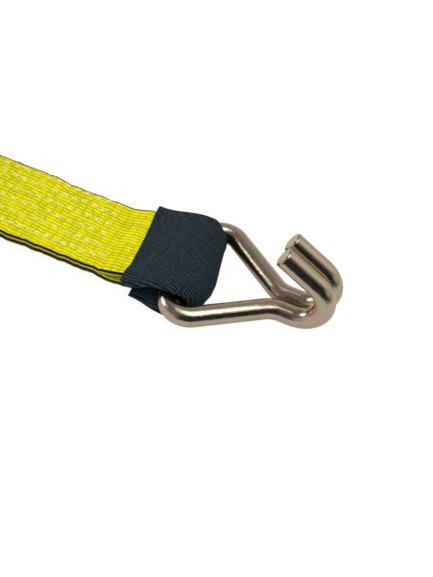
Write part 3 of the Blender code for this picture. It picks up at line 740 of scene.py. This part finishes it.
def build_short_strap():
    eye = eye_path(SHORT_BAR[0] - ANCHOR[0] - ANCHOR_EASE, SHORT_BAR[0] - ANCHOR[0] - ANCHOR_EASE)
    eye = eye + (SHORT_BAR[0], SHORT_BAR[2])
    run = np.linspace(0, 1, 24)[1:-1]
    rise = LAYER_HEIGHT + (ANCHOR_EYE_RADIUS - LAYER_HEIGHT) * (1 + np.cos(math.pi * run)) / 2
    upper = np.stack([ANCHOR[0] + ANCHOR_EASE * run, STRAP_Z + rise], 1)
    lower = np.stack([upper[::-1, 0], 2 * STRAP_Z - upper[::-1, 1]], 1)
    round_anchor = arc_points((ANCHOR[0], STRAP_Z), ANCHOR_EYE_RADIUS, 270, 90, 0.7)
    half = int(np.argmax(eye[:, 0]))
    path = np.concatenate([eye[half:], lower, round_anchor, upper, eye[:half + 1]])
    length = path_length(path)
    back_end = SHORT_BAR[0] - ANCHOR[0]
    hidden = 15 + SLEEVE_BOTTOM + 10
    fine = [(hidden - 2, hidden + back_end - 32), (length - hidden - back_end + 32, length - hidden - 12)]
    holes = stitch_holes(SHORT_STITCH_END, SHORT_BAR, 1)
    piece = strap_mesh("short_webbing_band", path, fine, True, 3.0, holes, (SHORT_BAR, 1, (125, 160)))
    finish_piece(piece, "short_webbing", WEBBING, "yellow_webbing", "short_strap")


def build_long_strap():
    clear_of_tail = LONG_BAR[0] + LONG_TAIL + 2
    around = arc_points((DRUM[0], DRUM[2]), OUTER_WRAP_RADIUS, 30, -90, 0.7)
    run = np.linspace(0, 1, 12)
    rise = np.stack([clear_of_tail + 14 - 14 * run, STRAP_Z + LAYER_HEIGHT * (1 - np.cos(math.pi * run)) / 2], 1)
    eye = eye_path(LONG_TAIL, LONG_TAIL)
    eye = np.stack([LONG_BAR[0] - eye[:, 0], LONG_BAR[2] + eye[:, 1]], 1)
    path = np.concatenate([around, rise, eye])
    length = path_length(path)
    fine = [(10, length - LONG_TAIL - 68), (length - LONG_TAIL + 16, length + 5)]
    holes = stitch_holes(LONG_STITCH_END, LONG_BAR, -1)
    piece = strap_mesh("long_webbing_band", path, fine, False, 0.6, holes, (LONG_BAR, -1, (96, 120)))
    finish_piece(piece, "long_webbing", WEBBING, "yellow_webbing", "long_strap")


def build_drum_wrap():
    """The webbing's end through the drum's slot and half a turn round it."""
    bend = 2.0
    first = 8.5 + 0.3 + WEBBING_THICK / 2
    bend_x = math.sqrt((first - bend) ** 2 - bend ** 2)
    start = -math.degrees(math.atan2(bend, bend_x))
    turn = 175
    part = np.linspace(0, 1, 60)[1:]
    angles = np.radians(start - turn * part)
    radius = first + 2.85 * turn / 360 * part
    winding = np.stack([radius * np.cos(angles), radius * np.sin(angles)], 1)
    path = np.concatenate([[(-7.0, 0), (-3.0, 0), (0, 0)], arc_points((bend_x, -bend), bend, 90, start, 0.3), winding])
    path = path + (DRUM[0], DRUM[2])
    piece = strap_mesh("drum_webbing", path, [(0, 60)], False, 3.0, waver=0.1)
    finish_piece(piece, "drum", WEBBING, "yellow_webbing", "strap_wrap")


# Sleeve


def sleeve_half(x, widest):
    """Half the sleeve's width: it narrows where it passes between the hook's legs."""
    return widest + 1.0 * smooth(-x, 8, 28) - (widest - 26.2) * smooth(x, 3, 14.5)


def sleeve_section(x, inset):
    """Places across and offsets round the sleeve at each place along it, a wall's part inside its outer face."""
    face = np.linspace(-1, 1, 161)
    fold = np.radians(np.linspace(75, -75, 7))
    inner_face = np.linspace(1, -1, 41)
    far, near = sleeve_half(x, FAR_HALF), sleeve_half(x, NEAR_HALF)
    round_fold = SLEEVE_FOLD - min(inset, 0.9)
    across, offset = [], []
    for run, up in ((face, 1), (inner_face, -1)):
        y = np.where(run > 0, run * (far - SLEEVE_FOLD), run * (near - SLEEVE_FOLD))
        half = np.where(run > 0, far, near)
        out = np.clip((np.abs(y) - 24) / (half - 24), 0, 1)
        thick = SLEEVE_EDGE_THICK + (SLEEVE_HALF_THICK - SLEEVE_EDGE_THICK) * np.sqrt(1 - out ** 2)
        turn = fold if up > 0 else fold + math.pi
        edge = far - SLEEVE_FOLD if up > 0 else -(near - SLEEVE_FOLD)
        across += [y, edge + np.cos(turn) * round_fold]
        offset += [up * (thick - inset), np.sin(turn) * (SLEEVE_EDGE_THICK - inset) * np.ones_like(x)]
    return np.concatenate(across, 1), np.concatenate(offset, 1)


def sleeve_cut(along, y):
    """How far along the sleeve each point is drawn by its slanting upper end."""
    return np.interp(y, END_AT, END_CUT) * (1 - smooth(along, 0, SLEEVE_TOP))[:, None]


def sleeve_surface(path, along, y, offset):
    """Points of the sleeve in the eye's own frame, with its sagging near edge, slanting end and full fold."""
    own, normal = resample(path, along[:, None] + sleeve_cut(along, y))
    x, z = own[..., 0], own[..., 1]
    sag = edge_sag(x, y, normal[..., 1] > 0)
    offset = offset - sag + 0.18 * wobble(along[:, None] * 0.8 + y * 0.5, 8, 7.0)
    px = x + normal[..., 0] * offset + fold_reach(x, y)
    return np.stack([px, y, z + normal[..., 1] * offset], -1)


def build_sleeve(name, bar, direction, body, node):
    path = eye_path(SLEEVE_TOP, SLEEVE_BOTTOM + 2)
    along = np.arange(0, path_length(path), RIB_PITCH / 6)
    own, _ = resample(path, along)
    outer_y, outer_b = sleeve_section(own[:, 0:1], 0.0)
    steps = np.linalg.norm(np.diff(sleeve_surface(path, along, outer_y, outer_b), axis=0), axis=2)
    rib_at = np.concatenate([np.zeros_like(outer_y[:1]), np.cumsum(steps, axis=0)])
    ribs = np.abs(np.sin(math.pi * rib_at / RIB_PITCH)) ** 0.7
    outer_b = outer_b + np.sign(outer_b) * RIB_DEPTH * (ribs - 1)
    outer = sleeve_surface(path, along, outer_y, outer_b)

    back = np.linspace(len(along) - 1, 0, 40).round().astype(int)
    inner_y, inner_b = sleeve_section(own[back, 0:1], SLEEVE_WALL)
    inner = sleeve_surface(path, along[back], inner_y, inner_b)
    points = np.concatenate([outer, inner])
    across = np.concatenate([outer_y, inner_y])
    down = np.concatenate([rib_at, np.broadcast_to(along[back, None], inner_y.shape)])
    weave = np.stack([across, down, np.zeros_like(across)], -1).reshape(-1, 3)
    faces = grid_faces(*across.shape, True, True)
    piece = make_mesh(name, place(points.reshape(-1, 3), bar, direction), faces, (("weave", weave),))
    finish_piece(piece, body, SLEEVE, "navy_sleeve", node)
    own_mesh(piece)


# Hooks


def hook_path():
    """One side of the wire's middle line from the bar's middle to the prong's tip, in the eye's own frame."""
    corner = np.array([CORNER_RADIUS, BAR_HALF - CORNER_RADIUS])
    bar = np.stack([np.zeros(20), np.linspace(0, corner[1], 20)], 1)
    bend = arc_points(corner, CORNER_RADIUS, 180, 90 - math.degrees(TAPER_ANGLE), 0.7)[1:]
    x, y = bend[-1]
    bend_width = NECK_BEND_RADIUS * (1 - math.cos(TAPER_ANGLE))
    run = (y - bend_width - PRONG_Y) / math.sin(TAPER_ANGLE)
    t = np.linspace(0, run, int(run))[1:-1]
    taper = np.stack([x + t * math.cos(TAPER_ANGLE), y - t * math.sin(TAPER_ANGLE)], 1)
    x, y = x + run * math.cos(TAPER_ANGLE), y - run * math.sin(TAPER_ANGLE)
    angle = np.linspace(TAPER_ANGLE, 0, 14)
    neck = np.stack([
        x + NECK_BEND_RADIUS * (math.sin(TAPER_ANGLE) - np.sin(angle)),
        y - NECK_BEND_RADIUS * (np.cos(angle) - math.cos(TAPER_ANGLE)),
    ], 1)
    flat = np.concatenate([bar, bend, taper, neck])
    flat = np.column_stack([flat, np.zeros(len(flat))])
    start = flat[-1][0] + NECK_LENGTH
    t = np.linspace(flat[-1][0], start, 7)[1:-1]
    straight = np.column_stack([t, np.full(len(t), PRONG_Y), np.zeros(len(t))])
    angle = np.linspace(0, BOWL_ANGLE, 56)
    bowl = np.column_stack([
        start + BOWL_RADIUS * np.sin(angle), np.full(56, PRONG_Y), BOWL_RADIUS * (1 - np.cos(angle)),
    ])
    heading = np.array([math.cos(BOWL_ANGLE), 0, math.sin(BOWL_ANGLE)])
    t = np.linspace(0, PRONG_LENGTH, 24)[1:, None]
    return np.concatenate([flat, straight, bowl, bowl[-1] + t * heading])


def build_hook(name, bar, direction, body, node):
    half = hook_path()
    other = half[1:] * (1, -1, 1)
    path = np.concatenate([other[::-1], half])
    radius = np.full(len(path), WIRE_RADIUS)
    chamfer = np.array([WIRE_RADIUS - 1.0, WIRE_RADIUS - 0.45, WIRE_RADIUS - 0.12])
    ends = []
    for tip, before in ((path[0], path[1]), (path[-1], path[-2])):
        back = (before - tip) / np.linalg.norm(before - tip)
        ends.append(np.array([tip + back * d for d in (0.0, 0.25, 0.7)]))
    path = np.concatenate([ends[0], path[1:-1], ends[1][::-1]])
    radius = np.concatenate([chamfer, radius[1:-1], chamfer[::-1]])
    points, faces = tube(path, radius, 40)
    piece = make_mesh(name, place(points, bar, direction), faces, flat=(len(faces) - 1, len(faces) - 2))
    finish_piece(piece, body, HOOK_ZINC, "hook_zinc_steel", node)


# Springs, pins and grip


def build_spring(name, start, end, angle, node):
    """A coil round a pawl's tongue."""
    wire, coil = 0.5, 4.0
    first = start + 0.3 + wire
    length = end - 1.25 - 0.3 - wire - first
    turns = round(length / 2.1)
    t = np.linspace(0, 1, turns * 28 + 1)
    turn = 2 * math.pi * turns * t
    path = np.stack([first + length * t, coil * np.cos(turn), coil * np.sin(turn)], 1)
    points, faces = tube(path, wire, 10)
    way = np.array([math.cos(angle), 0, -math.sin(angle)])
    up = np.array([math.sin(angle), 0, math.cos(angle)])
    points = DRUM + points[:, 0:1] * way + points[:, 1:2] * (0, 1, 0) + points[:, 2:3] * up
    piece = make_mesh(name, points, faces)
    finish_piece(piece, None, SPRING_WIRE, "spring_steel", node)
    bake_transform(piece)


def build_cotter(name, y, node):
    """A split pin: one half-round wire, folded at its eye, with both ends bent out under the drum."""
    eye, radius = 2.6, 1.15
    low = np.array([(3.6, -11.7), (2.6, -11.65), (1.6, -11.3), (0.9, -10.6), (0.62, -9.6)])
    leg = np.column_stack([np.full(20, 0.6), np.linspace(-9.0, 9.6, 20)])
    loop = arc_points((0, 12.4), eye - 0.6, -60, 240, 0.4)
    path = np.concatenate([low, leg, loop, leg[::-1] * (-1, 1), low[::-1] * (-1, 1)])
    dense = np.linspace(0, path_length(path), 150)
    middle, normal = resample(path, dense)
    turn = np.radians(np.linspace(-90, 90, 9))
    section = np.column_stack([np.sin(turn) * radius, np.cos(turn) * radius * 0.52 - 0.25])
    flat = np.column_stack([np.linspace(radius * 0.8, -radius * 0.8, 4), np.full(4, -0.3)])
    section = np.concatenate([section, flat])
    outward = -normal
    px = middle[:, 0][:, None] + outward[:, 0][:, None] * section[None, :, 1]
    pz = middle[:, 1][:, None] + outward[:, 1][:, None] * section[None, :, 1]
    py = np.broadcast_to(section[:, 0], px.shape)
    points = np.stack([px, py, pz], -1).reshape(-1, 3) + (DRUM[0], y, DRUM[2])
    columns = len(section)
    faces = grid_faces(len(dense), columns, False, True)
    faces += [list(range(columns)), list(range((len(dense) - 1) * columns, len(dense) * columns))[::-1]]
    finish_piece(make_mesh(name, points, faces), "drum", BRIGHT_ZINC, "bright_zinc_steel", node)


def build_grip():
    """A moulded bar with rounded ends and finger ribs round it."""
    low, high = (np.array(corner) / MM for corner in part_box("handle_grip"))
    centre, half = (low + high) / 2, (high - low) / 2
    y = np.linspace(-half[1], half[1], 313)
    end = np.clip((half[1] - np.abs(y)) / 5.0, 0, 1)
    size = 0.62 + 0.38 * np.sqrt(1 - (1 - end) ** 2)
    rib = 0.5 * (1 + np.cos(2 * math.pi * y / 5.2))
    depth = 0.75 * smooth(rib, 0.25, 0.75) * smooth(half[1] - np.abs(y), 6, 8)
    angles = np.linspace(0, 2 * math.pi, 72, endpoint=False)
    power = 2 / 4.2
    cos, sin = np.cos(angles), np.sin(angles)
    unit_x = np.sign(cos) * np.abs(cos) ** power
    unit_z = np.sign(sin) * np.abs(sin) ** power
    ring_x = (half[0] * size - depth)[:, None] * unit_x[None, :]
    ring_z = (half[2] * size - depth)[:, None] * unit_z[None, :]
    points = np.stack([ring_x, np.broadcast_to(y[:, None], ring_x.shape), ring_z], -1).reshape(-1, 3) + centre
    faces = grid_faces(len(y), 72, False, True)
    faces += [list(range(72)), list(range((len(y) - 1) * 72, len(y) * 72))[::-1]]
    piece = make_mesh("handle_grip_moulding", points, faces)
    finish_piece(piece, "handle", RUBBER, "grip_rubber", "handle_grip")


# CAD nodes that keep their own shape


def dress(node, material, bevel=0.35):
    """Rounds a CAD node's edges a little and gives it its finish."""
    piece = frame["nodes"][node]
    mesh = piece.data
    if "custom_normal" in mesh.attributes:
        mesh.attributes.remove(mesh.attributes["custom_normal"])
    mesh.shade_smooth()
    weld = piece.modifiers.new("weld", "WELD")
    weld.merge_threshold = 0.00001
    flat = piece.modifiers.new("flat", "DECIMATE")
    flat.decimate_type = "DISSOLVE"
    flat.angle_limit = math.radians(0.6)
    edge = piece.modifiers.new("edge", "BEVEL")
    edge.width = bevel * MM
    edge.segments = 2
    edge.limit_method = "ANGLE"
    edge.angle_limit = math.radians(38)
    edge.harden_normals = False
    edge.use_clamp_overlap = True
    piece.modifiers.new("shading", "WEIGHTED_NORMAL").keep_sharp = True
    mesh.materials.clear()
    mesh.materials.append(material)


# Stage


def build_floor():
    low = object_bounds()[0]
    mesh = bpy.data.meshes.new("floor")
    size = 6.0
    z = low.z - 0.0002
    mesh.from_pydata([(-size, -size, z), (size, -size, z), (size, size, z), (-size, size, z)], [], [(0, 1, 2, 3)])
    floor = bpy.data.objects.new("floor", mesh)
    bpy.context.scene.collection.objects.link(floor)
    made, n = new_material("floor_white")
    reflected = n.add("LightPath").outputs["Is Glossy Ray"]
    inputs = {0: n.add("NewGeometry").outputs["Position"], 1: tuple(Vector(SHORT_BAR * MM))}
    from_bar = n.add("VectorMath", inputs, operation="SUBTRACT").outputs[0]
    ahead = n.add("VectorMath", {0: from_bar, 1: (0.507, -0.862, 0)}, operation="DOT_PRODUCT").outputs["Value"]
    ahead = n.ramp(ahead, 0.15, 0.17)
    mirrored = n.mix(ahead, (0.50, 0.50, 0.48), (0.02, 0.02, 0.02))
    diffuse = n.add("BsdfDiffuse", {"Color": n.mix(reflected, (0.95, 0.95, 0.95), mirrored)})
    spread = n.add("LightPath").outputs["Is Diffuse Ray"]
    colour = n.mix(spread, n.mix(reflected, (1.0, 1.0, 1.0), mirrored), (0.55, 0.55, 0.55))
    glow = n.add("Emission", {"Color": colour, "Strength": 1.02})
    share = n.math("SUBTRACT", 0.9, n.math("MULTIPLY", reflected, 0.7))
    output = n.add("OutputMaterial")
    clear = n.add("BsdfTransparent")
    seen = n.add("LightPath").outputs["Is Camera Ray"]
    white = n.add("MixShader", {0: seen, 1: glow.outputs[0], 2: clear.outputs[0]})
    mixed = n.add("MixShader", {0: share, 1: diffuse.outputs[0], 2: white.outputs[0]})
    n.tree.links.new(mixed.outputs[0], output.inputs[0])
    mesh.materials.append(made)


def lobe(n, direction, centre, inner, outer):
    """1 within inner degrees of a direction, 0 beyond outer."""
    centre = Vector(centre).normalized()
    along = n.add("VectorMath", {0: direction, 1: tuple(centre)}, operation="DOT_PRODUCT").outputs["Value"]
    return n.ramp(along, math.cos(math.radians(outer)), math.cos(math.radians(inner)))


def build_world():
    """White for the camera and for soft light. Polished metal mirrors a studio: white low down, dark above, one lamp."""
    world = bpy.data.worlds.new("studio")
    bpy.context.scene.world = world
    n = Nodes(world)
    path = n.add("LightPath")
    direction = n.add("TexCoord").outputs["Generated"]
    height = n.add("SeparateXYZ", {0: direction}).outputs[2]
    parts = n.add("SeparateXYZ", {0: direction})
    off = n.add("VectorMath", {0: direction, 1: (-0.347, -0.938, 0.013)}, operation="DOT_PRODUCT").outputs["Value"]
    off = n.math("ABSOLUTE", off)
    right = n.math("SUBTRACT", 1.0, n.ramp(parts.outputs[0], 0.42, 0.50))
    near = n.math("MULTIPLY", right, n.ramp(parts.outputs[0], -0.24, -0.12))
    near = n.math("MULTIPLY", near, n.ramp(height, 0.6, 0.7))
    soft = n.math("MULTIPLY", near, n.ramp(off, 0.26, 0.42, 1, 0))
    bright = n.math("MULTIPLY", near, n.ramp(off, 0.10, 0.30, 1, 0))
    faint = n.math("MULTIPLY", n.ramp(parts.outputs[0], -0.70, -0.62), n.ramp(off, 0.03, 0.06, 1, 0))
    faint = n.math("MULTIPLY", faint, n.ramp(height, 0.5, 0.6))
    room = n.mix(n.ramp(height, 0.24, 0.34), (0.60, 0.58, 0.55), (0.20, 0.185, 0.17))
    room = n.mix(lobe(n, direction, (-0.2, 0.8, 0.55), 12, 25), room, (0.42, 0.40, 0.38))
    room = n.mix(lobe(n, direction, (0.64, 0.42, 0.62), 21, 31), room, (0.78, 0.74, 0.68))
    room = n.mix(lobe(n, direction, (0.45, -0.8, 0.2), 40, 46), room, (0.025, 0.02, 0.02))
    room = n.mix(n.math("MULTIPLY", faint, right), room, (0.26, 0.255, 0.235))
    room = n.mix(soft, room, (0.55, 0.55, 0.51))
    room = n.mix(bright, room, (3.2, 3.2, 3.0))
    room = n.mix(lobe(n, direction, (-0.91, -0.1, 0.39), 9, 14), room, (3.6, 3.55, 3.3))
    even = n.mix(n.ramp(parts.outputs[0], -0.2, 1.0), (0.92, 0.92, 0.92), (0.45, 0.45, 0.45))
    room = n.mix(path.outputs["Is Glossy Ray"], even, room)
    room = n.mix(path.outputs["Is Camera Ray"], room, (1.02, 1.02, 1.02))
    shader = n.add("Background", {"Color": room, "Strength": 1.0})
    output = n.add("OutputWorld")
    n.tree.links.new(shader.outputs[0], output.inputs[0])


def add_light(name, location, target, size, power):
    lamp = bpy.data.lights.new(name, "AREA")
    lamp.shape = "DISK"
    lamp.size = size
    lamp.energy = power
    holder = bpy.data.objects.new(name, lamp)
    holder.location = location
    holder.rotation_euler = (Vector(target) - Vector(location)).to_track_quat("-Z", "Y").to_euler()
    holder.visible_glossy = False
    bpy.context.scene.collection.objects.link(holder)


CAMERA_AZIMUTH = math.radians(16.4)
CAMERA_ELEVATION = math.radians(48.96)
CAMERA_ROLL = math.radians(9.03)
CAMERA_DISTANCE = 0.4945
CAMERA_LENS = 56.17
AIM_FROM_BAR = Vector((0.0215, -0.0078, 0))


def build_camera():
    level = math.cos(CAMERA_ELEVATION)
    back = Vector((math.sin(CAMERA_AZIMUTH) * level, -math.cos(CAMERA_AZIMUTH) * level, math.sin(CAMERA_ELEVATION)))
    camera = bpy.data.objects.new("camera", bpy.data.cameras.new("camera"))
    camera.data.lens = CAMERA_LENS
    camera.data.clip_start = 0.01
    aim = Vector(SHORT_BAR * MM) + AIM_FROM_BAR
    turn = back.to_track_quat("Z", "Y").to_matrix().to_4x4() @ Matrix.Rotation(CAMERA_ROLL, 4, "Z")
    camera.matrix_world = Matrix.Translation(aim + back * CAMERA_DISTANCE) @ turn
    bpy.context.scene.collection.objects.link(camera)
    bpy.context.scene.camera = camera


build_short_strap()
build_long_strap()
build_drum_wrap()
for side, bar, direction, end in (("short", SHORT_BAR, 1, SHORT_STITCH_END), ("long", LONG_BAR, -1, LONG_STITCH_END)):
    threads = stitches(f"{side}_stitches", end, bar, direction)
    finish_piece(threads, f"{side}_webbing", THREAD, "cream_thread", f"{side}_strap_stitching")
    build_sleeve(f"{side}_sleeve", bar, direction, f"{side}_webbing", f"{side}_strap_sleeve")
    build_hook(f"{side}_hook_wire", bar, direction, f"{side}_hook", f"{side}_strap_hook")
build_spring("drive_spring_coil", 75, 91.25, 0, "drive_pawl_spring")
build_spring("lock_spring_coil", 28, 38.15, math.radians(30), "lock_pawl_spring")
build_cotter("split_pin_left", 42, "cotter_pin_left")
build_cotter("split_pin_right", -42, "cotter_pin_right")
build_grip()
for node in ("base_frame", "handle_frame", "drive_pawl", "lock_pawl", "drum_washer_left", "drum_washer_right"):
    dress(node, YELLOW_ZINC)
for node in ("ratchet_wheel_left", "ratchet_wheel_right", "drum_half_upper", "drum_half_lower"):
    dress(node, BRIGHT_ZINC)
for node in ("anchor_bolt", "anchor_nut", "anchor_spacer"):
    dress(node, BRIGHT_ZINC, 0.5)

build_floor()
build_world()
add_light("key", (0.5, -0.5, 1.1), (0.2, 0, 0), 0.9, 9)
add_light("fill", (-0.6, 0.4, 1.0), (0, 0, 0), 1.2, 5)
build_camera()
bpy.context.scene.view_settings.view_transform = "Standard"
